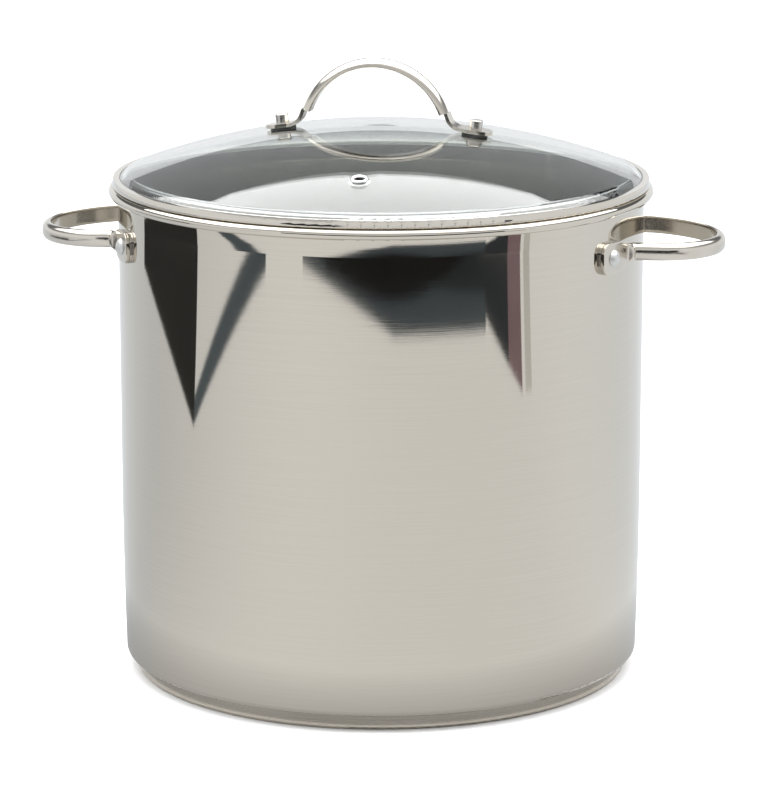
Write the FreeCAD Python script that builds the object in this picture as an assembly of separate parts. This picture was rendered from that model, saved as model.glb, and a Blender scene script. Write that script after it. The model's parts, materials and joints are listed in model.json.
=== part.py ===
"""Stock pot with a domed glass lid, built as separate pieces in one frame.

Millimetres, +Z up, base centre on the origin. The side handles lie along +X and
-X and the front of the pot faces -Y. Every node is written to parts/NODE.step.
"""
import FreeCAD, Part
import math
import os

# ---- pot body ---------------------------------------------------------------
POT_R = 150.0            # outer radius of the straight wall
WALL_T = 1.0             # sheet thickness of wall, floor and rolled rim
FLOOR_Z = 9.2            # underside of the pot floor, on the aluminium core
CORNER_R = 3.0           # outer radius between floor and wall
FOOT_R = 148.5           # outer radius where the corner meets the wall
WALL_MID_Z = 55.0        # the wall swells slightly from the foot ...
WALL_MID_R = 149.5
WALL_TRUE_Z = 127.0      # ... and is straight from here up
RIM_Z = 278.8            # centre height of the rolled rim
FLARE_Z = 266.0          # from here the wall leans out slightly into the roll
FLARE = 0.4              # by this much at the roll's centre height
RIM_R = 2.95             # outer radius of the roll
RIM_END_DEG = -120.0     # where the roll stops, just short of the wall
FLARE_MID = 0.5          # share of the flare's height its arc passes through
RIM_MID_DEG = 30.0       # half way round the roll from the wall's 180 degrees

# ---- encapsulated base ------------------------------------------------------
CAP_T = 0.8              # stainless base cup
CAP_FLAT_R = 140.4       # radius of the part that stands on the hob
CAP_CORNER_R = 1.8
CAP_R = CAP_FLAT_R + CAP_CORNER_R

# ---- side handles -----------------------------------------------------------
BAR_W = 10.0             # height of the half-round bar
BAR_T = 5.0              # its depth, half the height
BAR_EDGE = 0.6           # softened corners of the flat face
GRIP_Z = 253.4           # height of the rivets
GRIP_DROOP_DEG = 2.2     # the loop leans down this much from the pads
GRIP_X = 149.3           # centre of the half-circle loop
GRIP_R = 42.5            # inner radius of the loop
PAD_T = 2.2              # flattened end
PAD_H = 17.6
PAD_END = 10.4           # from the rivet to the end of the pad
PAD_CORNER_R = 5.5       # rounded corners of pads and plates
PAD_NECK_DEG = 69.5      # where the round pad starts to narrow to the leg
RIVET_DEG = 25.6         # rivets either side of the handle's axis
PLATE_T = 1.2            # backing plate between pad and wall
CONTACT_GAP = 0.03       # between stacked pieces of one body
PAD_BLOCK = 40.0         # cutter depth for the pads, more than they need

# ---- rivets -----------------------------------------------------------------
SHANK_R = 2.45
RIVET_HOLE_R = 2.5
RIVET_HEAD_R = 4.85
RIVET_HEAD_H = 2.8
RIVET_TAIL_R = 5.2
RIVET_TAIL_H = 2.3

# ---- lid glass --------------------------------------------------------------
DOME_TOP_Z = 315.0
DOME_R = 421.2           # radius of the broad centre of the dome
SHOULDER_R = 12.0        # radius of the dome's shoulder
SHOULDER_END_DEG = 48.0  # slope where the glass leaves sight under the band
GLASS_EDGE_R = 148.6     # where that happens
GLASS_T = 3.5
GLASS_RIM_R = 150.9      # ground outer edge
GLASS_SEAT_Z = 283.0     # ground lower edge

# ---- lid band ---------------------------------------------------------------
BAND_T = 0.6
BAND_SEAT_Z = 282.05     # underside, 0.3 above the rolled rim
BAND_LIP_R = 149.1       # inner edge of the lip that holds the glass
BAND_LIP_Z = 286.5
BAND_TOP_R = 152.6
BAND_WIDE_R = 153.2
BAND_WIDE_Z = 283.4
BAND_TOP_IN = 0.4        # how much of the sheet the inner top corner moves in by
BAND_SHOULDER_OUT = 0.62 # share of the way out at the middle of the shoulder
BAND_SHOULDER_DROP = 1.3
BAND_CURL_IN = 0.24      # middle of the small curve under the widest point
BAND_CURL_UP = 0.27      # share of the way from the seat up to BAND_WIDE_Z
BAND_SEAT_IN = 1.1       # flat seat ends this far inside BAND_WIDE_R
SKIRT_R = 147.4          # outer radius of the skirt that centres the lid
SKIRT_END_Z = 273.5

# ---- lid handle -------------------------------------------------------------
LID_TURN_DEG = -6.0      # the lid is turned this far from the side handles
HANDLE_LEAN_DEG = -0.2   # and its handle sits this far round the dome
BOW_R = 40.2             # inner radius of the bow
BOW_Z = 308.0            # centre height of the bow
BOW_X = -1.6             # the bow sits this far off the middle of its feet
BOW_END_DEG = 20.0       # where the round bow turns into the foot, each side
FOOT_S = 56.0            # screw axis from the centre, along the bow
FOOT_T = 2.0
FOOT_W = 15.0
FOOT_END = 10.2          # from the screw to the end of the foot
FOOT_FLARE = 7.5         # length over which bar width grows to FOOT_W
BEND_R = 8.0             # bend between leg and foot, to the middle of the strip
GASKET_T = 1.1
GASKET_R = 7.4
BUSH_R = 4.4
GLASS_HOLE_R = 4.5
LOWER_GASKET_T = 1.2
WASHER_R = 6.2
WASHER_T = 1.0
CURVE_GAP = 0.06         # flat pieces stand this far off the curved glass
STUD_HOLE_R = 2.7
STUD_R = 2.45
CAPNUT_R = 3.8
CAPNUT_H = 5.3
CAPNUT_EDGE = 0.7
CAPNUT_BORE_R = 2.5
CAPNUT_BORE_H = 4.4
STUD_IN_NUT = 4.0
SCREW_HEAD_R = 4.5
SCREW_HEAD_H = 2.8
HEX_FLATS = 3.0
HEX_DEPTH = 1.8

# ---- steam vent -------------------------------------------------------------
VENT_R = 107.5           # from the lid's centre
VENT_DEG = 1.2           # from the front of the pot, towards +X
EYELET_FLANGE_R = 5.1
EYELET_BORE_R = 2.7
EYELET_TUBE_R = 3.5
EYELET_CROWN = 1.3
VENT_HOLE_R = 4.6
VENT_WASHER_R = 5.6
VENT_WASHER_T = 0.8
VENT_GASKET_EDGE = 0.5

SIDES = {"left": 180.0, "right": 0.0}
Z_AXIS = FreeCAD.Vector(0, 0, 1)
Y_AXIS = FreeCAD.Vector(0, 1, 0)
X_AXIS = FreeCAD.Vector(1, 0, 0)
ORIGIN = FreeCAD.Vector(0, 0, 0)


# ---- outlines ---------------------------------------------------------------
def polar(centre, radius, degrees):
    """Point at an angle on a circle drawn in the (r, z) plane."""
    angle = math.radians(degrees)
    return centre[0] + radius * math.cos(angle), centre[1] + radius * math.sin(angle)


def arc(centre, radius, start_deg, end_deg):
    """Arc segment for outline(): a middle point and an end point."""
    middle = polar(centre, radius, (start_deg + end_deg) / 2)
    return middle, polar(centre, radius, end_deg)


def outline(start, segments, place):
    """Closed wire from a start point and segments: (end,) or (middle, end)."""
    edges = []
    here = start
    for segment in list(segments) + [(start,)]:
        end = segment[-1]
        if math.dist(here, end) < 1e-7:
            continue
        if len(segment) == 2:
            edges.append(Part.Arc(place(here), place(segment[0]), place(end)).toShape())
        else:
            edges.append(Part.makeLine(place(here), place(end)))
        here = end
    return Part.Wire(edges)


def on_xz(point):
    return FreeCAD.Vector(point[0], 0, point[1])


def on_xy(point):
    return FreeCAD.Vector(point[0], point[1], 0)


def turned(start, segments):
    """Solid of revolution about Z from an (r, z) outline."""
    face = Part.Face(outline(start, segments, on_xz))
    return face.revolve(ORIGIN, Z_AXIS, 360)


def tube(outer_r, inner_r, low, high):
    start = (inner_r, low)
    return turned(start, [((outer_r, low),), ((outer_r, high),), ((inner_r, high),)])


def rod(radius, low, high):
    return Part.makeCylinder(radius, high - low, FreeCAD.Vector(0, 0, low))


def half_round():
    """Section of the handle bar: flat on x = 0, round towards +x."""
    flat = BAR_W / 2 - BAR_EDGE
    side = math.sqrt((BAR_W / 2) ** 2 - BAR_EDGE ** 2)
    corner = arc((BAR_EDGE, flat), BAR_EDGE, 90, 180)[0]
    return (0, -flat), [
        ((corner[0], -corner[1]), (BAR_EDGE, -side)),
        ((BAR_T, 0), (BAR_EDGE, side)),
        (corner, (0, flat)),
    ]


# ---- pot body and base ------------------------------------------------------
def pot_side(offset):
    """Points of the wall, offset inward from the outer face, from floor to rim."""
    centre = (FOOT_R - CORNER_R, FLOOR_Z + CORNER_R)
    return [
        ((centre[0], FLOOR_Z + offset),),
        arc(centre, CORNER_R - offset, -90, 0),
        ((WALL_MID_R - offset, WALL_MID_Z), (POT_R - offset, WALL_TRUE_Z)),
        ((POT_R - offset, FLARE_Z),),
        (flare_point(offset, FLARE_MID), flare_point(offset, 1)),
    ]


def flare_point(offset, share):
    """Point a share of the way up the flare, which curves out like a parabola."""
    return POT_R + FLARE * share ** 2 - offset, FLARE_Z + (RIM_Z - FLARE_Z) * share


def reversed_path(start, segments):
    """The same outline walked backwards, for the inner face of a sheet."""
    points = [start] + [segment[-1] for segment in segments]
    back = []
    for index in range(len(segments) - 1, -1, -1):
        middle = segments[index][:-1]
        back.append(tuple(middle) + (points[index],))
    return points[-1], back


def make_pot_body():
    curl = (POT_R + FLARE - WALL_T + RIM_R, RIM_Z)
    inside_start = (0, FLOOR_Z + WALL_T)
    _, inside_back = reversed_path(inside_start, pot_side(WALL_T))
    segments = list(pot_side(0))
    segments.append(arc(curl, RIM_R - WALL_T, 180, RIM_END_DEG))
    segments.append((polar(curl, RIM_R, RIM_END_DEG),))
    segments.append((polar(curl, RIM_R, RIM_MID_DEG), flare_point(WALL_T, 1)))
    body = turned((0, FLOOR_Z), segments + inside_back)
    return body.cut(rivet_holes())


def cap_side(offset):
    """Side of the base cup from its flat underside up to the lip."""
    corner = arc((CAP_FLAT_R, CAP_CORNER_R), CAP_CORNER_R - offset, -90, 0)
    return corner, (CAP_R - offset, FLOOR_Z - CONTACT_GAP)


def make_base_cap():
    corner, lip = cap_side(0)
    inner_corner, inner_lip = cap_side(CAP_T)
    return turned((0, 0), [
        ((CAP_FLAT_R, 0),),
        corner,
        (lip,),
        (inner_lip,),
        (inner_corner[1],),
        (inner_corner[0], (CAP_FLAT_R, CAP_T)),
        ((0, CAP_T),),
    ])


def make_base_core():
    """Aluminium heat-spreading disc, pressed between the cup and the pot floor."""
    corner, lip = cap_side(CAP_T + CONTACT_GAP)
    return turned((0, CAP_T + CONTACT_GAP), [
        ((CAP_FLAT_R, CAP_T + CONTACT_GAP),),
        corner,
        (lip,),
        ((0, lip[1]),),
    ])


# ---- side handles -----------------------------------------------------------
def place_at(shape, degrees, radius, height):
    """Turn a shape made along +X from the origin out to the pot's wall."""
    shape.translate(FreeCAD.Vector(radius, 0, height))
    shape.rotate(ORIGIN, Z_AXIS, degrees)
    return shape


def along_x(shape):
    """Turn a shape made along +Z so that it points along +X."""
    shape.rotate(ORIGIN, Y_AXIS, 90)
    return shape


def rivet_angles(side_deg):
    return [side_deg - RIVET_DEG, side_deg + RIVET_DEG]


def rivet_holes():
    cutters = []
    for side_deg in SIDES.values():
        for degrees in rivet_angles(side_deg):
            hole = along_x(rod(RIVET_HOLE_R, -PAD_BLOCK / 2, PAD_BLOCK / 2))
            cutters.append(place_at(hole, degrees, POT_R, GRIP_Z))
    return Part.makeCompound(cutters)


def pad_end(sign):
    """Rounded end of a pad, on the -y (-1) or +y (1) side."""
    inner_y = sign * (PAD_END - PAD_CORNER_R)
    inner_z = sign * (PAD_H / 2 - PAD_CORNER_R)
    start_deg = 90 * sign
    return [
        ((inner_y, sign * PAD_H / 2),),
        arc((inner_y, inner_z), PAD_CORNER_R, start_deg, start_deg - 90),
        ((sign * PAD_END, -inner_z),),
        arc((inner_y, -inner_z), PAD_CORNER_R, start_deg - 90, start_deg - 180),
        ((0, -sign * PAD_H / 2),),
    ]


def pad_neck(reach):
    """From the round pad, narrowing to the width of the leg at reach and back."""
    half = PAD_H / 2
    neck = BAR_W / 2
    return [
        arc((0, 0), half, 90, PAD_NECK_DEG),
        ((reach - neck, neck),),
        ((reach, neck),),
        ((reach, -neck),),
        ((reach - neck, -neck),),
        (polar((0, 0), half, -PAD_NECK_DEG),),
        arc((0, 0), half, -PAD_NECK_DEG, -90),
    ]


def bent_pad(inner_r, thickness, far_side):
    """Pad bent to the wall with its rivet on +X; far_side closes it on +y."""
    wire = outline((0, -PAD_H / 2), pad_end(-1) + far_side,
                   lambda p: FreeCAD.Vector(0, p[0], p[1]))
    block = Part.Face(wire).extrude(FreeCAD.Vector(PAD_BLOCK, 0, 0))
    block.translate(FreeCAD.Vector(inner_r - PAD_BLOCK / 2, 0, 0))
    blank = block.common(tube(inner_r + thickness, inner_r, -PAD_H, PAD_H))
    return blank.cut(along_x(rod(RIVET_HOLE_R, 0, inner_r + PAD_BLOCK)))


def plate_inner_r():
    return POT_R + CONTACT_GAP


def pad_inner_r():
    return plate_inner_r() + PLATE_T + CONTACT_GAP


def make_plate(degrees):
    return place_at(bent_pad(plate_inner_r(), PLATE_T, pad_end(1)), degrees, 0, GRIP_Z)


def handle_loop():
    """Half-circle loop of bar around +X."""
    start, segments = half_round()
    section = outline(start, segments, on_xz)
    section.translate(FreeCAD.Vector(GRIP_R, 0, 0))
    loop = Part.Face(section).revolve(ORIGIN, Z_AXIS, 180)
    loop.rotate(ORIGIN, Z_AXIS, -90)
    loop.translate(FreeCAD.Vector(GRIP_X, 0, 0))
    return loop


def handle_leg():
    """Short straight bar from the +Y end of the loop back into the pad."""
    start, segments = half_round()
    section = outline(start, segments, lambda p: FreeCAD.Vector(0, p[0], p[1]))
    leg = Part.Face(section).extrude(FreeCAD.Vector(-BAR_W, 0, 0))
    leg.translate(FreeCAD.Vector(GRIP_X, GRIP_R, 0))
    return leg


def handle_pad():
    """Flattened end on the -Y side, reaching in under the leg."""
    radius = pad_inner_r()
    leg_deg = math.degrees(math.asin((GRIP_R + BAR_T / 2) / radius))
    reach = radius * math.radians(RIVET_DEG - leg_deg) + BAR_T / 2
    pad = bent_pad(radius, PAD_T, pad_neck(reach))
    pad.rotate(ORIGIN, Z_AXIS, -RIVET_DEG)
    return pad


def make_handle(side_deg):
    """One handle: half-circle loop, two short legs and two flattened pads."""
    radius = pad_inner_r()
    leg = handle_leg()
    bar = handle_loop().multiFuse([leg, leg.mirror(ORIGIN, Y_AXIS)])
    bar.rotate(FreeCAD.Vector(radius, 0, 0), Y_AXIS, GRIP_DROOP_DEG)
    bar = bar.cut(rod(radius, -BAR_W, BAR_W))
    pad = handle_pad()
    handle = bar.multiFuse([pad, pad.mirror(ORIGIN, Y_AXIS)]).removeSplitter()
    return place_at(handle, side_deg, 0, GRIP_Z)


def dome_head(radius, height, low):
    """Spherical-cap head on +Z, its flat side at a height."""
    bulge = (radius ** 2 + height ** 2) / (2 * height)
    edge_deg = math.degrees(math.acos(radius / bulge))
    centre = (0, low + height - bulge)
    return turned((0, low), [((radius, low),), arc(centre, bulge, edge_deg, 90)])


def make_rivet():
    """Rivet along +X, its origin on the pot's outer wall."""
    head_z = pad_inner_r() + PAD_T - POT_R + CONTACT_GAP
    tail_z = -WALL_T - CONTACT_GAP
    sagitta = RIVET_TAIL_R ** 2 / (2 * (POT_R - WALL_T))
    head = dome_head(RIVET_HEAD_R, RIVET_HEAD_H, head_z)
    tail = dome_head(RIVET_TAIL_R, RIVET_TAIL_H, 0)
    tail.rotate(ORIGIN, Y_AXIS, 180)
    tail.translate(FreeCAD.Vector(0, 0, tail_z - sagitta))
    shank = rod(SHANK_R, tail_z - sagitta, head_z)
    return along_x(shank.multiFuse([head, tail]).removeSplitter())


def make_rivets(side_deg):
    rivets = []
    for degrees in rivet_angles(side_deg):
        rivets.append(place_at(make_rivet(), degrees, POT_R, GRIP_Z))
    return Part.makeCompound(rivets)


# ---- lid glass and band -----------------------------------------------------
def dome_joint_deg():
    """Slope at which the dome's centre arc meets its shoulder arc."""
    reach = GLASS_EDGE_R - SHOULDER_R * math.sin(math.radians(SHOULDER_END_DEG))
    return math.degrees(math.asin(reach / (DOME_R - SHOULDER_R)))


def dome_path(offset):
    """Glass face from the lid's centre outward, offset down through the glass."""
    joint = dome_joint_deg()
    main = (0, DOME_TOP_Z - DOME_R)
    meet = polar(main, DOME_R - SHOULDER_R, 90 - joint)
    shoulder = arc(meet, SHOULDER_R - offset, 90 - joint, 90 - SHOULDER_END_DEG)
    return arc(main, DOME_R - offset, 90, 90 - joint), shoulder


def make_lid_glass():
    top = dome_path(0)
    under = dome_path(GLASS_T)
    slope = math.tan(math.radians(SHOULDER_END_DEG))
    top_edge = top[1][-1]
    rim_z = top_edge[1] - (GLASS_RIM_R - top_edge[0]) * slope
    under_edge = under[1][-1]
    seat_r = under_edge[0] + (under_edge[1] - GLASS_SEAT_Z) / slope
    under_start, under_back = reversed_path((0, DOME_TOP_Z - GLASS_T), under)
    glass = turned((0, DOME_TOP_Z), [
        top[0],
        top[1],
        ((GLASS_RIM_R, rim_z),),
        ((GLASS_RIM_R, GLASS_SEAT_Z),),
        ((seat_r, GLASS_SEAT_Z),),
        (under_start,),
    ] + under_back)
    holes = [at_foot(rod(GLASS_HOLE_R, -GLASS_T * 2, GLASS_T * 2), sign) for sign in (-1, 1)]
    holes.append(at_vent(rod(VENT_HOLE_R, -GLASS_T * 2, GLASS_T * 2)))
    return glass.cut(Part.makeCompound(holes))


def band_channel(offset):
    """Inside (offset = sheet) or outside (0) of the band, from lip to skirt."""
    wide = BAND_WIDE_R - offset
    top_z = BAND_LIP_Z - offset
    seat_z = BAND_SEAT_Z + offset
    top_corner = BAND_TOP_R - offset * BAND_TOP_IN
    low_corner = BAND_WIDE_R - BAND_SEAT_IN
    shoulder_r = top_corner + (wide - top_corner) * BAND_SHOULDER_OUT
    curl_z = seat_z + (BAND_WIDE_Z - seat_z) * BAND_CURL_UP
    return {
        "lip": (BAND_LIP_R, top_z),
        "top": (top_corner, top_z),
        "shoulder": ((shoulder_r, top_z - BAND_SHOULDER_DROP), (wide, BAND_WIDE_Z)),
        "curl": ((wide - BAND_CURL_IN, curl_z), (low_corner, seat_z)),
        "seat": (SKIRT_R, seat_z),
    }


def make_lid_band():
    outside = band_channel(0)
    inside = band_channel(BAND_T)
    skirt_in = SKIRT_R - BAND_T
    return turned(outside["lip"], [
        (outside["top"],),
        outside["shoulder"],
        outside["curl"],
        (outside["seat"],),
        ((SKIRT_R, SKIRT_END_Z + BAND_T / 2),),
        ((SKIRT_R - BAND_T / 2, SKIRT_END_Z), (skirt_in, SKIRT_END_Z + BAND_T / 2)),
        ((skirt_in, inside["seat"][1]),),
        (inside["curl"][-1],),
        (inside["curl"][0], inside["shoulder"][-1]),
        (inside["shoulder"][0], inside["top"]),
        (inside["lip"],),
    ])


def make_band_sealant():
    """Clear silicone that fills the band around the glass edge."""
    inside = band_channel(BAND_T)
    seat_z = inside["seat"][1]
    filled = turned((SKIRT_R, seat_z), [
        (inside["curl"][-1],),
        (inside["curl"][0], inside["shoulder"][-1]),
        (inside["shoulder"][0], inside["top"]),
        ((BAND_LIP_R, inside["lip"][1]),),
        ((SKIRT_R, inside["lip"][1]),),
    ])
    rest = filled.cut(make_lid_glass())
    outer_pieces = sorted(rest.Solids, key=lambda solid: -solid.Volume)
    keep = outer_pieces[0]
    trim = rod(GLASS_EDGE_R, GLASS_SEAT_Z, DOME_TOP_Z)
    return keep.cut(trim)


# ---- lid hardware -----------------------------------------------------------
def on_lid(shape):
    """Move lid hardware from the XZ plane to its place on the dome."""
    shape.rotate(FreeCAD.Vector(0, 0, DOME_TOP_Z - DOME_R), Y_AXIS, HANDLE_LEAN_DEG)
    shape.rotate(ORIGIN, Z_AXIS, LID_TURN_DEG)
    return shape


def onto_glass(shape, radius):
    """Stand a +Z shape on the dome's top face at a radius along +X."""
    tilt = math.degrees(math.asin(radius / DOME_R))
    height = DOME_TOP_Z - DOME_R + DOME_R * math.cos(math.radians(tilt))
    shape.rotate(ORIGIN, Y_AXIS, tilt)
    shape.translate(FreeCAD.Vector(radius, 0, height))
    return shape


def at_foot(shape, sign):
    placed = onto_glass(shape, FOOT_S)
    if sign < 0:
        placed.rotate(ORIGIN, Z_AXIS, 180)
    return on_lid(placed)


def at_vent(shape):
    placed = onto_glass(shape, VENT_R)
    placed.rotate(ORIGIN, Z_AXIS, VENT_DEG - 90)
    return placed


def foot_frame():
    """Middle line of the foot strip: a point on it and its outward direction."""
    tilt = math.asin(FOOT_S / DOME_R)
    lift = GASKET_T + FOOT_T / 2 + CONTACT_GAP
    top_z = DOME_TOP_Z - DOME_R + DOME_R * math.cos(tilt)
    point = (FOOT_S + lift * math.sin(tilt), top_z + lift * math.cos(tilt))
    return point, (math.cos(tilt), -math.sin(tilt))


def moved(point, direction, distance):
    return point[0] + direction[0] * distance, point[1] + direction[1] * distance


def strip_corner(leg, down, point, along):
    """Where the leg's middle line meets the foot's."""
    cross = down[0] * along[1] - down[1] * along[0]
    gap = (point[0] - leg[0], point[1] - leg[1])
    return moved(leg, down, (gap[0] * along[1] - gap[1] * along[0]) / cross)


def strip_side(sign):
    """Upper and lower side lines of the strip bent from the leg to the foot."""
    point, along = foot_frame()
    leg = polar((sign * BOW_X, BOW_Z), BOW_R + BAR_T - FOOT_T / 2, BOW_END_DEG)
    down = polar((0, 0), 1, BOW_END_DEG - 90)
    corner = strip_corner(leg, down, point, along)
    turn = math.acos(down[0] * along[0] + down[1] * along[1])
    setback = BEND_R * math.tan(turn / 2)
    bend_start = moved(corner, down, -setback)
    bend_end = moved(corner, along, setback)
    normal = (-down[1], down[0])
    rise = (-along[1], along[0])
    centre = moved(bend_start, normal, BEND_R)
    reach = math.dist(centre, corner)
    inward = ((corner[0] - centre[0]) / reach, (corner[1] - centre[1]) / reach)
    tip = moved(point, along, FOOT_END)
    return [[
        moved(leg, normal, offset),
        moved(bend_start, normal, offset),
        moved(centre, inward, BEND_R - offset),
        moved(bend_end, rise, offset),
        moved(tip, rise, offset),
    ] for offset in (FOOT_T / 2, -FOOT_T / 2)]


def foot_plan():
    """Plan outline of the foot: bar width at the leg, a rounded lobe at the screw."""
    half_bar = BAR_W / 2
    half = FOOT_W / 2
    lobe_x = FOOT_S + FOOT_END - half
    leg_x = BOW_R * math.cos(math.radians(BOW_END_DEG))
    wide_x = FOOT_S - half + FOOT_FLARE / 2
    narrow_x = wide_x - FOOT_FLARE
    return outline((leg_x, -half_bar), [
        ((narrow_x, -half_bar),),
        ((wide_x, -half),),
        ((lobe_x, -half),),
        ((lobe_x + half, 0), (lobe_x, half)),
        ((wide_x, half),),
        ((narrow_x, half_bar),),
        ((leg_x, half_bar),),
    ], on_xy)


def make_foot(sign):
    """One flattened foot, drilled for its stud."""
    upper, lower = strip_side(sign)
    side = outline(lower[0], [
        (lower[1],),
        (lower[2], lower[3]),
        (lower[4],),
        (upper[4],),
        (upper[3],),
        (upper[2], upper[1]),
        (upper[0],),
    ], on_xz)
    sheet = Part.Face(side).extrude(FreeCAD.Vector(0, FOOT_W * 2, 0))
    sheet.translate(FreeCAD.Vector(0, -FOOT_W, 0))
    plan = Part.Face(foot_plan()).extrude(FreeCAD.Vector(0, 0, DOME_TOP_Z))
    plan.translate(FreeCAD.Vector(0, 0, DOME_TOP_Z / 2))
    foot = sheet.common(plan).cut(onto_glass(rod(STUD_HOLE_R, 0, BAR_W), FOOT_S))
    return foot if sign > 0 else foot.mirror(ORIGIN, X_AXIS)


def make_lid_handle():
    start, segments = half_round()
    section = outline(start, segments, lambda p: FreeCAD.Vector(p[0] + BOW_R, p[1], 0))
    bow = Part.Face(section).revolve(ORIGIN, Y_AXIS, -(180 - 2 * BOW_END_DEG))
    bow.rotate(ORIGIN, Y_AXIS, -BOW_END_DEG)
    bow.translate(FreeCAD.Vector(BOW_X, 0, BOW_Z))
    return on_lid(bow.multiFuse([make_foot(-1), make_foot(1)]).removeSplitter())


def foot_top():
    return GASKET_T + FOOT_T + 2 * CONTACT_GAP


def make_cap_nut():
    low = foot_top()
    high = low + CAPNUT_H
    corner = (CAPNUT_R - CAPNUT_EDGE, high - CAPNUT_EDGE)
    body = turned((0, low), [
        ((CAPNUT_R, low),),
        ((CAPNUT_R, corner[1]),),
        arc(corner, CAPNUT_EDGE, 0, 90),
        ((0, high),),
    ])
    return body.cut(rod(CAPNUT_BORE_R, low, low + CAPNUT_BORE_H))


def under_glass(drop):
    return -GLASS_T - CURVE_GAP - drop


def make_lid_screw():
    """Screw from under the glass up into the cap nut."""
    seat = under_glass(LOWER_GASKET_T + WASHER_T + 2 * CONTACT_GAP)
    low = seat - SCREW_HEAD_H
    corner_r = SCREW_HEAD_H / 2
    corner = (SCREW_HEAD_R - corner_r, low + corner_r)
    head = turned((0, low), [
        ((corner[0], low),),
        arc(corner, corner_r, -90, 0),
        ((SCREW_HEAD_R, seat),),
        ((0, seat),),
    ])
    corners = []
    for index in range(6):
        corners.append(polar((0, 0), HEX_FLATS / math.sqrt(3), 60 * index))
    hexagon = outline(corners[0], [(corner,) for corner in corners[1:]], on_xy)
    socket = Part.Face(hexagon).extrude(FreeCAD.Vector(0, 0, HEX_DEPTH))
    socket.translate(FreeCAD.Vector(0, 0, low))
    stud = rod(STUD_R, seat, foot_top() + STUD_IN_NUT)
    return head.fuse(stud).removeSplitter().cut(socket)


def make_upper_gasket():
    return tube(GASKET_R, STUD_HOLE_R, CONTACT_GAP / 2, GASKET_T)


def make_hole_bushing():
    return tube(BUSH_R, STUD_HOLE_R, -GLASS_T, -CURVE_GAP)


def make_lower_gasket():
    return tube(GASKET_R, STUD_HOLE_R, under_glass(LOWER_GASKET_T), under_glass(0))


def make_lower_washer():
    top = under_glass(LOWER_GASKET_T + CONTACT_GAP)
    return tube(WASHER_R, STUD_HOLE_R, top - WASHER_T, top)


def make_vent_eyelet():
    """Rolled eyelet: a crowned flange on the glass and a tube down through it."""
    seat = CONTACT_GAP
    wall = EYELET_TUBE_R - EYELET_BORE_R
    low = under_glass(VENT_WASHER_T + CONTACT_GAP)
    flare_r = EYELET_TUBE_R + wall
    crown_r = (EYELET_BORE_R + EYELET_FLANGE_R) / 2
    return turned((EYELET_BORE_R, low - wall), [
        ((flare_r, low - wall),),
        ((flare_r, low),),
        ((EYELET_TUBE_R, low),),
        ((EYELET_TUBE_R, seat),),
        ((EYELET_FLANGE_R, seat),),
        ((crown_r, seat + EYELET_CROWN), (EYELET_BORE_R, seat)),
    ])


def make_vent_gasket():
    """Silicone sleeve between the eyelet's tube and the hole in the glass."""
    return tube(VENT_HOLE_R - CURVE_GAP, EYELET_TUBE_R + CONTACT_GAP, -GLASS_T, -CURVE_GAP)


def make_vent_washer():
    top = under_glass(0)
    return tube(VENT_WASHER_R, EYELET_TUBE_R + CONTACT_GAP, top - VENT_WASHER_T, top)


# ---- all nodes --------------------------------------------------------------
def build():
    nodes = {
        "pot_body": make_pot_body(),
        "base_core": make_base_core(),
        "base_cap": make_base_cap(),
        "lid_glass": make_lid_glass(),
        "lid_band": make_lid_band(),
        "band_sealant": make_band_sealant(),
        "lid_handle": make_lid_handle(),
        "vent_eyelet": at_vent(make_vent_eyelet()),
        "vent_gasket": at_vent(make_vent_gasket()),
        "vent_washer": at_vent(make_vent_washer()),
    }
    for side, side_deg in SIDES.items():
        nodes[side + "_handle"] = make_handle(side_deg)
        nodes[side + "_handle_rivets"] = make_rivets(side_deg)
        front_first = sorted(rivet_angles(side_deg), key=lambda deg: math.sin(math.radians(deg)))
        for place, degrees in zip(("front", "rear"), front_first):
            nodes[side + "_" + place + "_plate"] = make_plate(degrees)
    signs = {"left": -1, "right": 1}
    nodes["lid_cap_nuts"] = Part.makeCompound([at_foot(make_cap_nut(), s) for s in signs.values()])
    nodes["lid_screws"] = Part.makeCompound([at_foot(make_lid_screw(), s) for s in signs.values()])
    for side, sign in signs.items():
        nodes[side + "_upper_gasket"] = at_foot(make_upper_gasket(), sign)
        nodes[side + "_hole_bushing"] = at_foot(make_hole_bushing(), sign)
        nodes[side + "_lower_gasket"] = at_foot(make_lower_gasket(), sign)
        nodes[side + "_lower_washer"] = at_foot(make_lower_washer(), sign)
    return nodes


os.makedirs("parts", exist_ok=True)
for name, shape in build().items():
    shape.exportStep("parts/" + name + ".step")
    print(name, "solids", len(shape.Solids), "valid", shape.isValid())
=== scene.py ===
"""Stock pot with a domed glass lid: materials, finer shapes and a pale studio.

Metres, +Z up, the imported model's own frame. The side handles lie along +X and -X,
the front of the pot faces -Y.
"""
import json
import math

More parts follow.
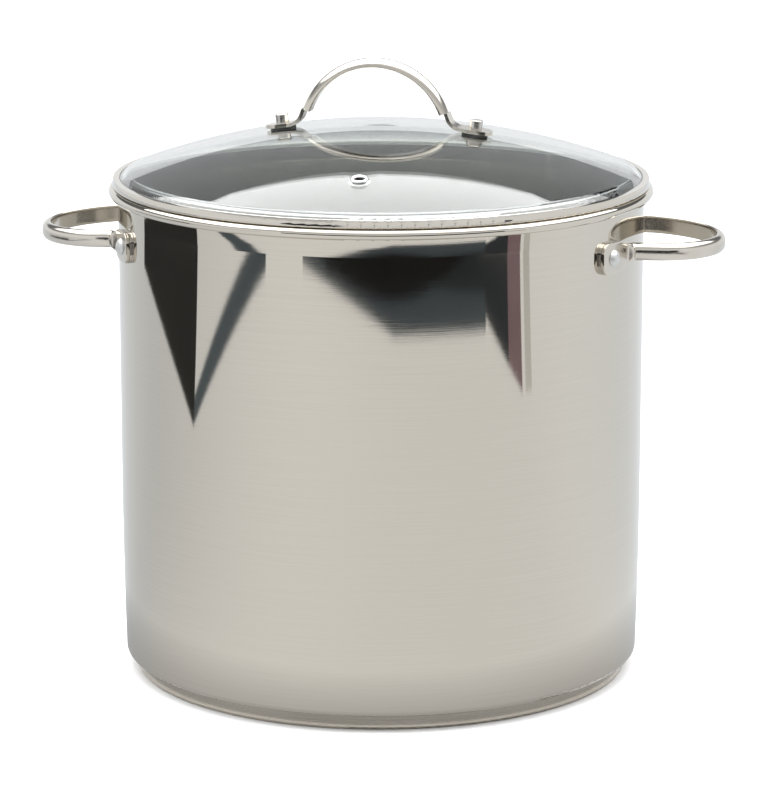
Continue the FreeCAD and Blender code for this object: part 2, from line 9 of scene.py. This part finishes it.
import bmesh
import bpy
from mathutils import Euler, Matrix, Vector

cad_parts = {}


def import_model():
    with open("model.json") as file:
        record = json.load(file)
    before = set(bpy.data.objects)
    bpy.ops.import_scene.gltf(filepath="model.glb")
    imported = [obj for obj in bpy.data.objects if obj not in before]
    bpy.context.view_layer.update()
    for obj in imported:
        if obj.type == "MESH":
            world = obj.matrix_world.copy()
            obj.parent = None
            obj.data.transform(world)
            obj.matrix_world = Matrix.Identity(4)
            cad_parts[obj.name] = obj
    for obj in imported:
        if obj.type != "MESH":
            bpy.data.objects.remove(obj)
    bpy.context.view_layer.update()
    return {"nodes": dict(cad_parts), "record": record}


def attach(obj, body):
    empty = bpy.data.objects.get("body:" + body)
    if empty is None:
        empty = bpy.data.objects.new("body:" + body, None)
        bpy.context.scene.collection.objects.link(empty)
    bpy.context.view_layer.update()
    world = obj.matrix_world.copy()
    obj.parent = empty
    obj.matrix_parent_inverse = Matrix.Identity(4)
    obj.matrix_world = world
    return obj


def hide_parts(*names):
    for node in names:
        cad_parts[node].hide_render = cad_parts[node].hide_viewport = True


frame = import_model()
NODES = frame["nodes"]

# ---- camera -----------------------------------------------------------------
CAMERA_AT = Vector((0.2832, -2.1514, 0.647))
CAMERA_PITCH_DEG = 77.21
CAMERA_TURN_DEG = 7.47
CAMERA_LENS = 173.2          # millimetres, as is the sensor's longer side
SENSOR_WIDTH = 36.0
CLIP_END = 50.0

# ---- studio -----------------------------------------------------------------
FLOOR_SIZE = 12.0
WORLD_STRENGTH = 1.0
SOFTBOX_Z = 1.6
SOFTBOX_SIZE = (4.4, 2.6)
SOFTBOX_Y = 0.34             # its far edge shows as the arc in the front of the lid
SOFTBOX_RADIANCE = 2.7
TABLE_LIFT = 0.002           # the reflected table top lies this far above the floor
TABLE_INNER_R = 0.145
TABLE_OUTER_R = 6.0
# The table's light is dimmed right beside the pot as a painted contact shadow of the pot, set by
# the next two values.
TABLE_SHADOW_STRENGTH = 0.55             # strength of its light right beside the pot
TABLE_SHADOW_WIDTH = 0.10       # it is at full strength this far out
CARD_LIFT = 0.004            # dark cards lie above the table top
DEPTH_LIFT = 0.006           # and the darkest part of the front one above them
CARDS_FAR = 1.6              # most of them end this far from the pot
CARD_STEPS = 12              # straight pieces in the long edges of a card
ROOM_R = 3.4                 # ring wall of the dim room, seen only in reflections
ROOM_Z = (1.15, 2.80)
RING_STEPS = 96
BOARD_R = 1.9                # dark board standing across the front of the table
BOARD_SPAN_DEG = (-40, 50)
BOARD_H = 0.38
STUDIO_TURN_DEG = CAMERA_TURN_DEG  # the studio faces the camera, not the pot's own front


def camera():
    data = bpy.data.cameras.new("camera")
    data.sensor_width = SENSOR_WIDTH
    data.lens = CAMERA_LENS
    data.clip_end = CLIP_END
    cam = bpy.data.objects.new("camera", data)
    cam.location = CAMERA_AT
    cam.rotation_euler = Euler((math.radians(CAMERA_PITCH_DEG), 0, math.radians(CAMERA_TURN_DEG)))
    bpy.context.scene.collection.objects.link(cam)
    bpy.context.scene.camera = cam


# ---- node helpers -----------------------------------------------------------
class Tree:
    """Short names for building one material's node tree."""

    def __init__(self, name):
        self.material = bpy.data.materials.new(name)
        self.material.use_nodes = True
        self.nodes = self.material.node_tree.nodes
        self.links = self.material.node_tree.links
        self.shader = self.nodes["Principled BSDF"]
        self.output = self.nodes["Material Output"]
        self.object_at = self.nodes.new("ShaderNodeTexCoord").outputs["Object"]

    def link(self, source, target):
        self.links.new(source, target)

    def feed(self, value, socket):
        """Link an output to a socket, or set a plain value on it."""
        if isinstance(value, bpy.types.NodeSocket):
            self.link(value, socket)
        else:
            socket.default_value = value

    def maths(self, operation, first, second=0.0):
        node = self.nodes.new("ShaderNodeMath")
        node.operation = operation
        self.feed(first, node.inputs[0])
        self.feed(second, node.inputs[1])
        return node.outputs[0]

    def split(self, vector):
        node = self.nodes.new("ShaderNodeSeparateXYZ")
        self.link(vector, node.inputs[0])
        return node.outputs

    def join(self, x, y, z):
        node = self.nodes.new("ShaderNodeCombineXYZ")
        for socket, value in zip(node.inputs, (x, y, z)):
            self.feed(value, socket)
        return node.outputs[0]

    def noise(self, vector, scale, detail=2.0, roughness=0.5):
        node = self.nodes.new("ShaderNodeTexNoise")
        self.link(vector, node.inputs["Vector"])
        node.inputs["Scale"].default_value = scale
        node.inputs["Detail"].default_value = detail
        node.inputs["Roughness"].default_value = roughness
        return node.outputs["Fac"]

    def spread(self, value, low, high, from_low=0.3, from_high=0.7):
        node = self.nodes.new("ShaderNodeMapRange")
        self.link(value, node.inputs["Value"])
        node.inputs["From Min"].default_value = from_low
        node.inputs["From Max"].default_value = from_high
        node.inputs["To Min"].default_value = low
        node.inputs["To Max"].default_value = high
        return node.outputs[0]

    def blend(self, factor, first, second):
        node = self.nodes.new("ShaderNodeMix")
        node.data_type = "RGBA"
        self.feed(factor, node.inputs["Factor"])
        self.feed(first, node.inputs[6])
        self.feed(second, node.inputs[7])
        return node.outputs[2]

    def bump(self, height, strength, distance):
        node = self.nodes.new("ShaderNodeBump")
        self.link(height, node.inputs["Height"])
        node.inputs["Strength"].default_value = strength
        node.inputs["Distance"].default_value = distance
        return node.outputs[0]

    def from_axis(self, x, y):
        """Distance from the Z axis."""
        squares = self.maths("ADD", self.maths("MULTIPLY", x, x), self.maths("MULTIPLY", y, y))
        return self.maths("SQRT", squares)

    def set(self, **values):
        for name, value in values.items():
            self.feed(value, self.shader.inputs[name.replace("_", " ")])


def rgb(red, green, blue):
    return (red, green, blue, 1.0)


# ---- metals -----------------------------------------------------------------
LINES_PER_M = 2200.0         # fine brush lines, about half a millimetre apart
LINE_SPREAD = 14.0           # how fast a line fades along its length, per metre
LINE_SHARE = 0.75            # how much of the tone comes from the lines
CLOUD_SCALE = 9.0            # and the rest comes from soft clouds of this scale
CLOUD_SHARE = 0.25
LINE_POLISH = (1.25, 0.75)   # roughness between lines and on them
LINE_DEPTH = 0.0001
GRAIN_TO_BROAD = 30          # the broad tone of plain steel is this much coarser
GRAIN_POLISH = (0.7, 1.3)
GRAIN_DEPTH = 0.00005
INSIDE_FLOOR = (0.1455, 0.0097)  # points between the sheet's two faces: radius and height
INSIDE_FOOT = (0.1480, 0.0126)
INSIDE_SWELL = (0.1490, 0.055)
INSIDE_WALL = (0.1495, 0.127)
INSIDE_TOP = 0.2765          # the bead's own tone starts here
INSIDE_ROUGHER = 0.12


def turned_lines(tree):
    """Noise drawn out along circles about Z, on walls and on flat discs alike."""
    x, y, z = tree.split(tree.object_at)
    flat = tree.join(x, y, 0.0)
    length = tree.nodes.new("ShaderNodeVectorMath")
    length.operation = "LENGTH"
    tree.link(flat, length.inputs[0])
    across = tree.maths("ADD", z, length.outputs["Value"])
    return tree.noise(tree.join(
        tree.maths("MULTIPLY", x, LINE_SPREAD),
        tree.maths("MULTIPLY", y, LINE_SPREAD),
        tree.maths("MULTIPLY", across, LINES_PER_M)), 1.0, 3.0, 0.6)


def tangent(tree):
    node = tree.nodes.new("ShaderNodeTangent")
    node.direction_type = "RADIAL"
    node.axis = "Z"
    return node.outputs[0]


def turned_steel(name, light, dark, rough, line_depth, anisotropic, inside=None):
    """Steel with its grain running round the pot, and another tone on the inner face."""
    tree = Tree(name)
    lines = turned_lines(tree)
    clouds = tree.noise(tree.object_at, CLOUD_SCALE, 3.0)
    tree.set(Metallic=1.0, Anisotropic=anisotropic)
    tree.shader.inputs["Anisotropic Rotation"].default_value = 0.25
    tree.link(tangent(tree), tree.shader.inputs["Tangent"])
    tone = tree.maths("ADD", tree.maths("MULTIPLY", lines, LINE_SHARE),
                      tree.maths("MULTIPLY", clouds, CLOUD_SHARE))
    colour = tree.blend(tree.spread(tone, 0.0, 1.0), dark, light)
    polish = tree.spread(lines, rough * LINE_POLISH[0], rough * LINE_POLISH[1])
    if inside:
        within = inner_face(tree)
        colour = tree.blend(within, colour, inside)
        polish = tree.maths("ADD", polish, tree.maths("MULTIPLY", within, INSIDE_ROUGHER))
    tree.set(Base_Color=colour)
    tree.set(Roughness=polish)
    tree.set(Normal=tree.bump(lines, line_depth, LINE_DEPTH))
    return tree.material


def inner_face(tree):
    """One on the pot's inside, zero on its outside and on the bead."""
    x, y, z = tree.split(tree.object_at)
    away = tree.from_axis(x, y)
    swell = tree.spread(z, INSIDE_FOOT[0], INSIDE_SWELL[0], INSIDE_FOOT[1], INSIDE_SWELL[1])
    rise = tree.spread(z, 0.0, INSIDE_WALL[0] - INSIDE_SWELL[0], INSIDE_SWELL[1], INSIDE_WALL[1])
    in_wall = tree.maths("LESS_THAN", away, tree.maths("ADD", swell, rise))
    above = tree.maths("MULTIPLY", tree.maths("GREATER_THAN", z, INSIDE_FOOT[1]),
                       tree.maths("LESS_THAN", z, INSIDE_TOP))
    on_floor = tree.maths("MULTIPLY", tree.maths("LESS_THAN", away, INSIDE_FLOOR[0]),
                          tree.maths("GREATER_THAN", z, INSIDE_FLOOR[1]))
    return tree.maths("MAXIMUM", tree.maths("MULTIPLY", in_wall, above),
                      tree.maths("MULTIPLY", on_floor, tree.maths("LESS_THAN", z, INSIDE_FOOT[1])))


def fine_steel(name, light, dark, rough, grain, depth):
    """Polished or tumbled steel with a soft, even grain."""
    tree = Tree(name)
    fine = tree.noise(tree.object_at, grain, 4.0, 0.6)
    broad = tree.noise(tree.object_at, grain / GRAIN_TO_BROAD, 2.0)
    tree.set(Metallic=1.0)
    tree.set(Base_Color=tree.blend(tree.spread(broad, 0.0, 1.0), dark, light))
    tree.set(Roughness=tree.spread(fine, rough * GRAIN_POLISH[0], rough * GRAIN_POLISH[1]))
    tree.set(Normal=tree.bump(fine, depth, GRAIN_DEPTH))
    return tree.material


def lid_glass():
    """Clear tempered glass; lamps shine through it onto what is below."""
    tree = Tree("lid_glass")
    broad = tree.noise(tree.object_at, 14.0, 2.0)
    tree.set(Transmission_Weight=1.0, IOR=1.5)
    tree.set(Base_Color=tree.blend(broad, rgb(0.955, 0.985, 0.97), rgb(0.965, 0.99, 0.98)))
    tree.set(Roughness=0.0)
    clear = tree.nodes.new("ShaderNodeBsdfTransparent")
    clear.inputs["Color"].default_value = rgb(0.86, 0.92, 0.90)
    path = tree.nodes.new("ShaderNodeLightPath")
    mixer = tree.nodes.new("ShaderNodeMixShader")
    tree.link(path.outputs["Is Shadow Ray"], mixer.inputs["Fac"])
    tree.link(tree.shader.outputs[0], mixer.inputs[1])
    tree.link(clear.outputs[0], mixer.inputs[2])
    tree.link(mixer.outputs[0], tree.output.inputs["Surface"])
    return tree.material


def silicone(name, light, dark, rough, clear):
    """Matt rubber; the clear kind lets some light into it."""
    tree = Tree(name)
    fine = tree.noise(tree.object_at, 900.0, 3.0)
    tree.set(Base_Color=tree.blend(fine, dark, light))
    tree.set(Roughness=tree.spread(fine, rough * 0.9, rough * 1.1))
    tree.shader.inputs["Transmission Weight"].default_value = clear
    tree.set(Normal=tree.bump(fine, 0.1, 0.0001))
    return tree.material


def make_materials():
    return {
        "pot_steel": turned_steel(
            "pot_steel", rgb(0.64, 0.60, 0.535), rgb(0.60, 0.565, 0.50),
            rough=0.035, line_depth=0.02, anisotropic=0.6, inside=rgb(0.56, 0.53, 0.46)),
        "base_steel": turned_steel(
            "base_steel", rgb(0.52, 0.48, 0.42), rgb(0.42, 0.385, 0.335),
            rough=0.30, line_depth=0.15, anisotropic=0.5),
        "base_aluminium": turned_steel(
            "base_aluminium", rgb(0.78, 0.78, 0.78), rgb(0.66, 0.66, 0.66),
            rough=0.40, line_depth=0.2, anisotropic=0.3),
        "band_steel": turned_steel(
            "band_steel", rgb(0.66, 0.625, 0.565), rgb(0.60, 0.565, 0.51),
            rough=0.08, line_depth=0.02, anisotropic=0.2),
        "handle_steel": fine_steel(
            "handle_steel", rgb(0.66, 0.62, 0.56), rgb(0.58, 0.545, 0.485),
            rough=0.16, grain=900.0, depth=0.05),
        "plate_steel": fine_steel(
            "plate_steel", rgb(0.60, 0.57, 0.53), rgb(0.52, 0.495, 0.455),
            rough=0.18, grain=900.0, depth=0.05),
        "rivet_steel": fine_steel(
            "rivet_steel", rgb(0.70, 0.70, 0.69), rgb(0.60, 0.60, 0.595),
            rough=0.42, grain=1200.0, depth=0.12),
        "fastener_steel": fine_steel(
            "fastener_steel", rgb(0.68, 0.655, 0.625), rgb(0.58, 0.555, 0.525),
            rough=0.20, grain=1200.0, depth=0.08),
        "eyelet_steel": fine_steel(
            "eyelet_steel", rgb(0.84, 0.84, 0.83), rgb(0.76, 0.76, 0.75),
            rough=0.12, grain=1200.0, depth=0.03),
        "lid_glass": lid_glass(),
        "clear_silicone": silicone(
            "clear_silicone", rgb(0.80, 0.82, 0.81), rgb(0.70, 0.72, 0.71),
            rough=0.45, clear=0.6),
        "dark_silicone": silicone(
            "dark_silicone", rgb(0.045, 0.045, 0.04), rgb(0.025, 0.025, 0.022),
            rough=0.5, clear=0.0),
    }


MATERIALS = make_materials()


def dress_nodes():
    """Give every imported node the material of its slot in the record."""
    for part in frame["record"]["subparts"]:
        node = NODES[part["node"]]
        material = MATERIALS[part["material_slot"]]
        for slot in node.material_slots:
            slot.link = "OBJECT"
            slot.material = material


# ---- side handles -----------------------------------------------------------
# The CAD's own sizes, apart from a fuller section, finer edges and a folded step from
# pad to leg.
MM = 0.001
PAD_R = 151.26 * MM          # inner face of the pads
PAD_T = 2.2 * MM
PAD_HALF = 8.8 * MM
PAD_CORNER = 5.5 * MM
RIVET_DEG = 25.6             # direction of a rivet from the handle's middle
PAD_END = 10.4 * MM          # a pad ends this far past its rivet
PAD_END_DEG = RIVET_DEG + math.degrees(PAD_END / PAD_R)
BAR_T = 5.0 * MM
BAR_HALF = 5.0 * MM
GRIP_X = 149.3 * MM
GRIP_R = 42.5 * MM
GRIP_Z = 253.4 * MM
FOLD_R = 5.4 * MM            # bend of the flat face between leg and pad
NECK_START = 16.5 * MM       # along the flat face from the end of the pad
NECK_END = 30.5 * MM
SWELL = 4.5 * MM             # length over which the pad grows as thick as the bar
DROOP = math.tan(math.radians(2.2))
FLAT_EDGE = 0.5 * MM
EDGE_BREAK = 0.3             # share of that edge left at the small inner corner
PAD_FULLNESS = 8.0           # power of the section's curve: high is boxy, 2 is round
BAR_FULLNESS = 2.6
PAD_STEPS = 56
FOLD_STEPS = 20
LOOP_STEPS = 64
OUTER_STEPS = 24
FLAT_STEPS = 6
SHARP_DEG = 50.0             # edges sharper than this stay crisp


def smooth(value, low, high):
    share = min(max((value - low) / (high - low), 0.0), 1.0)
    return share * share * (3 - 2 * share)


def arc(centre, radius, start, stop, shares):
    """Points at some shares of the way along an arc in plan."""
    angles = [start + (stop - start) * share for share in shares]
    return [(centre[0] + radius * math.cos(angle), centre[1] + radius * math.sin(angle))
            for angle in angles]


def flat_face_line():
    """Plan points of the flat face from the +Y pad's end to the middle of the loop."""
    corner_x = math.sqrt(PAD_R ** 2 - GRIP_R ** 2)
    lean = math.asin(GRIP_R / PAD_R)
    quarter = math.pi / 2
    setback = FOLD_R * math.tan((quarter - lean) / 2)
    pad = arc((0.0, 0.0), PAD_R, math.radians(PAD_END_DEG), lean + setback / PAD_R,
              [i / PAD_STEPS for i in range(PAD_STEPS + 1)])
    fold = arc((corner_x + setback, GRIP_R + FOLD_R), FOLD_R, math.pi + lean, 3 * quarter,
               [i / FOLD_STEPS for i in range(1, FOLD_STEPS + 1)])
    loop = arc((GRIP_X, 0.0), GRIP_R, quarter, 0.0,
               [i / LOOP_STEPS for i in range(1, LOOP_STEPS + 1)])
    return pad + fold + loop


def bar_profile(half, depth, power):
    """Points (out, up) round a section: flat at out = 0, full and round outside."""
    points = []
    for i in range(OUTER_STEPS + 1):
        angle = math.pi * i / OUTER_STEPS
        up = half * math.copysign(abs(math.cos(angle)) ** (2 / power), math.cos(angle))
        out = FLAT_EDGE + (depth - FLAT_EDGE) * abs(math.sin(angle)) ** (2 / power)
        points.append((out, up))
    inner = half - FLAT_EDGE
    corner = FLAT_EDGE * EDGE_BREAK
    points.append((corner, -half + corner))
    points += [(0.0, -inner + 2 * inner * i / FLAT_STEPS) for i in range(FLAT_STEPS + 1)]
    points.append((corner, half - corner))
    return points


def handle_section(along):
    """Half height, depth and fullness of the section at a length from the pad's end."""
    edge = max(PAD_CORNER - along, 0.0)
    pad_half = PAD_HALF - PAD_CORNER + math.sqrt(PAD_CORNER ** 2 - edge ** 2)
    neck = smooth(along, NECK_START, NECK_END)
    swell = smooth(along, NECK_END - SWELL, NECK_END)
    half = pad_half + (BAR_HALF - pad_half) * neck
    depth = PAD_T + (BAR_T - PAD_T) * swell
    return half, depth, PAD_FULLNESS + (BAR_FULLNESS - PAD_FULLNESS) * swell


def handle_rings():
    """Sections along the whole loop, each square to the flat face's line."""
    line = flat_face_line()
    line += [(x, -y) for x, y in reversed(line[:-1])]
    lengths = [0.0]
    for here, there in zip(line, line[1:]):
        lengths.append(lengths[-1] + math.dist(here, there))
    rings = []
    for index, (x, y) in enumerate(line):
        before = line[max(index - 1, 0)]
        after = line[min(index + 1, len(line) - 1)]
        step = math.dist(before, after)
        out_x, out_y = (before[1] - after[1]) / step, (after[0] - before[0]) / step
        along = min(lengths[index], lengths[-1] - lengths[index])
        ring = []
        for out, up in bar_profile(*handle_section(along)):
            at_x = x + out_x * out
            drop = DROOP * max(at_x - PAD_R - PAD_T, 0.0)
            ring.append((at_x, y + out_y * out, GRIP_Z + up - drop))
        rings.append(ring)
    return rings


def lofted(name, rings, material):
    """Tube of quads through closed rings, with flat end caps."""
    count = len(rings[0])
    faces = []
    for ring in range(len(rings) - 1):
        for i in range(count):
            j = (i + 1) % count
            faces.append((ring * count + i, ring * count + j,
                          (ring + 1) * count + j, (ring + 1) * count + i))
    last = (len(rings) - 1) * count
    faces.append(tuple(reversed(range(count))))
    faces.append(tuple(range(last, last + count)))
    mesh = bpy.data.meshes.new(name)
    mesh.from_pydata([point for ring in rings for point in ring], [], faces)
    mesh.materials.append(material)
    mesh.update()
    shape = bmesh.new()
    shape.from_mesh(mesh)
    bmesh.ops.recalc_face_normals(shape, faces=shape.faces)
    shape.to_mesh(mesh)
    shape.free()
    mesh.shade_smooth()
    mesh.set_sharp_from_angle(angle=math.radians(SHARP_DEG))
    piece = bpy.data.objects.new(name, mesh)
    bpy.context.scene.collection.objects.link(piece)
    return piece


def side_handles():
    rings = handle_rings()
    for node, sign in (("right_handle", 1), ("left_handle", -1)):
        placed = [[(sign * x, sign * y, z) for x, y, z in ring] for ring in rings]
        piece = lofted(node + "_fine", placed, MATERIALS["handle_steel"])
        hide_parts(node)
        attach(piece, "pot")


# ---- studio -----------------------------------------------------------------
def studio_point(x, y, z):
    """A point given along and away from the camera's view, in the pot's frame."""
    turn = math.radians(STUDIO_TURN_DEG)
    return Vector((x * math.cos(turn) - y * math.sin(turn),
                   x * math.sin(turn) + y * math.cos(turn), z))


def stage_material(name, light, dark):
    """Matt surface with a soft, broad variation."""
    tree = Tree(name)
    broad = tree.noise(tree.object_at, 2.0, 3.0)
    tree.set(Base_Color=tree.blend(broad, dark, light), Roughness=0.9)
    tree.shader.inputs["Specular IOR Level"].default_value = 0.1
    return tree.material


def stage_piece(name, points, faces, material):
    mesh = bpy.data.meshes.new(name)
    mesh.from_pydata(points, [], faces)
    mesh.materials.append(material)
    piece = bpy.data.objects.new(name, mesh)
    bpy.context.scene.collection.objects.link(piece)
    return piece


def only_reflected(piece):
    """The piece shows in shiny surfaces and does nothing else to the light."""
    piece.visible_camera = False
    piece.visible_diffuse = False
    piece.visible_shadow = False
    piece.visible_transmission = False


def card(name, corners, material):
    """A flat reflection card through some corners."""
    points = [studio_point(*corner) for corner in corners]
    only_reflected(stage_piece(name, points, [range(len(corners))], material))


def toward(turn_deg, reach):
    """Plan point in a direction round the pot; zero degrees is towards the camera."""
    turn = math.radians(turn_deg)
    return reach * math.sin(turn), -reach * math.cos(turn)


def patch(name, span, near, material, far=(CARDS_FAR, CARDS_FAR), lift=CARD_LIFT):
    """A floor card between two directions round the pot.

    Its near and far edges each run evenly from one distance to another.
    """
    edges = []
    for start, end in (near, far):
        shares = [i / CARD_STEPS for i in range(CARD_STEPS + 1)]
        edges.append([(*toward(span[0] + (span[1] - span[0]) * share,
                               start + (end - start) * share), lift) for share in shares])
    card(name, edges[0] + edges[1][::-1], material)


def ring(name, edges, material):
    """Reflected band of quads between two circles about Z, each a radius and a height."""
    angles = [math.tau * i / RING_STEPS for i in range(RING_STEPS)]
    points = [(radius * math.cos(angle), radius * math.sin(angle), z)
              for radius, z in edges for angle in angles]
    faces = []
    for i in range(RING_STEPS):
        j = (i + 1) % RING_STEPS
        faces.append((i, j, RING_STEPS + j, RING_STEPS + i))
    only_reflected(stage_piece(name, points, faces, material))


def floor():
    half = FLOOR_SIZE / 2
    white = stage_material("floor", rgb(0.93, 0.93, 0.93), rgb(0.92, 0.92, 0.92))
    corners = [(-half, -half, 0), (half, -half, 0), (half, half, 0), (-half, half, 0)]
    stage_piece("floor", corners, [range(4)], white)


# How light the table looks in the steel, by direction round the pot. Zero degrees is
# towards the camera and +90 is on its right.
TABLE_TONES = [(-180, 1.0), (-120, 0.7), (-90, 0.75), (-40, 1.0), (0, 0.9), (60, 0.9), (90, 1.0),
               (130, 0.85), (180, 1.0)]
ROOM_TONES = [(-180, 0.1), (-125, 0.15), (-95, 0.4), (-60, 0.6), (0, 0.8), (60, 0.6), (95, 0.4),
              (125, 0.15), (180, 0.1)]
COOL_BACK = 0.05             # how much bluer the light is behind the pot


def tinted(degrees, level):
    """Grey level with the tint of its direction: neutral in front, cool at the back."""
    cool = COOL_BACK * (1 - math.cos(math.radians(degrees))) / 2
    return (level * (1 - cool), level, level * (1 + cool), 1.0)


def direction_share(tree, x, y):
    """Direction round the pot as 0 to 1, with 0.5 towards the camera."""
    turn = math.radians(STUDIO_TURN_DEG)
    across = tree.maths("ADD", tree.maths("MULTIPLY", x, math.cos(turn)),
                        tree.maths("MULTIPLY", y, math.sin(turn)))
    back = tree.maths("SUBTRACT", tree.maths("MULTIPLY", y, math.cos(turn)),
                      tree.maths("MULTIPLY", x, math.sin(turn)))
    angle = tree.maths("ARCTAN2", across, tree.maths("MULTIPLY", back, -1.0))
    return tree.maths("ADD", tree.maths("DIVIDE", angle, math.tau), 0.5)


def tone_ramp(tree, share, tones):
    """Soft colour ramp through some (degrees, level) stops."""
    ramp = tree.nodes.new("ShaderNodeValToRGB")
    ramp.color_ramp.interpolation = "B_SPLINE"
    stops = ramp.color_ramp.elements
    stops.remove(stops[1])
    for index, (degrees, level) in enumerate(tones):
        place = degrees / 360 + 0.5
        stop = stops[0] if index == 0 else stops.new(place)
        stop.position = place
        stop.color = tinted(degrees, level)
    tree.link(share, ramp.inputs["Fac"])
    return ramp.outputs["Color"]


def sweep_material(name, tones, near=None):
    """Even light toned by direction round the pot, and dimmer beside it if asked, as a painted
    shadow of the pot.
    """
    tree = Tree(name)
    x, y, _ = tree.split(tree.object_at)
    colour = tone_ramp(tree, direction_share(tree, x, y), tones)
    lamp = tree.nodes.new("ShaderNodeEmission")
    tree.link(colour, lamp.inputs["Color"])
    if near:
        tree.link(tree.spread(tree.from_axis(x, y), *near), lamp.inputs["Strength"])
    tree.link(lamp.outputs[0], tree.output.inputs["Surface"])
    return tree.material


def table():
    """Ring round the pot that stands for the lit table in its reflections."""
    # Painted shadow: the ring's light is dimmed right beside the pot.
    near = (TABLE_SHADOW_STRENGTH, 1.0, TABLE_INNER_R, TABLE_INNER_R + TABLE_SHADOW_WIDTH)
    ring("table", [(TABLE_INNER_R, TABLE_LIFT), (TABLE_OUTER_R, TABLE_LIFT)],
         sweep_material("table", TABLE_TONES, near))


def room():
    """Ring wall that stands for the dim room above the table's edge."""
    ring("room", [(ROOM_R, z) for z in ROOM_Z], sweep_material("room", ROOM_TONES))


def dark_room():
    """What lay beyond the table: it shows as the dark shapes on the steel."""
    black = stage_material("black_card", rgb(0.006, 0.006, 0.0055), rgb(0.002, 0.002, 0.002))
    deep = stage_material("deep_card", rgb(0.012, 0.015, 0.018), rgb(0.008, 0.010, 0.012))
    navy = stage_material("navy_card", rgb(0.035, 0.046, 0.054), rgb(0.024, 0.032, 0.040))
    maroon = stage_material("maroon_card", rgb(0.14, 0.105, 0.115), rgb(0.07, 0.035, 0.04))
    grey = stage_material("grey_card", rgb(0.34, 0.34, 0.33), rgb(0.26, 0.26, 0.25))
    patch("left_shape", (-120, -82), (1.35, 0.8), black)
    patch("left_blade", (-82, -48), (0.8, 1.45), navy, far=(0.9, 1.75))
    patch("front_left", (-32, 5), (1.5, 1.2), navy)
    patch("front_right", (5, 43), (1.2, 1.2), navy)
    patch("front_depth", (-22, 43), (1.45, 1.35), deep, lift=DEPTH_LIFT)
    patch("right_strip", (43, 53), (1.25, 1.05), deep)
    patch("right_band", (53, 59), (1.05, 0.95), maroon)
    patch("right_edge", (60.5, 63.5), (0.95, 0.95), grey)
    left, right = [toward(turn, BOARD_R) for turn in BOARD_SPAN_DEG]
    card("front_board", [(*left, 0), (*right, 0), (*right, BOARD_H), (*left, BOARD_H)], black)


def softbox():
    data = bpy.data.lights.new("softbox", "AREA")
    data.shape = "RECTANGLE"
    data.size, data.size_y = SOFTBOX_SIZE
    data.energy = SOFTBOX_RADIANCE * math.pi * SOFTBOX_SIZE[0] * SOFTBOX_SIZE[1]
    light = bpy.data.objects.new("softbox", data)
    light.location = studio_point(0, SOFTBOX_Y, SOFTBOX_Z)
    light.rotation_euler = Euler((0, 0, math.radians(STUDIO_TURN_DEG)))
    light.visible_camera = False
    bpy.context.scene.collection.objects.link(light)


def world():
    sky = bpy.data.worlds.new("world")
    sky.use_nodes = True
    background = sky.node_tree.nodes["Background"]
    background.inputs["Color"].default_value = rgb(0.97, 0.985, 1.0)
    background.inputs["Strength"].default_value = WORLD_STRENGTH
    bpy.context.scene.world = sky


def studio():
    world()
    floor()
    table()
    room()
    dark_room()
    softbox()
    bpy.context.scene.view_settings.view_transform = "Standard"


camera()
dress_nodes()
side_handles()
studio()
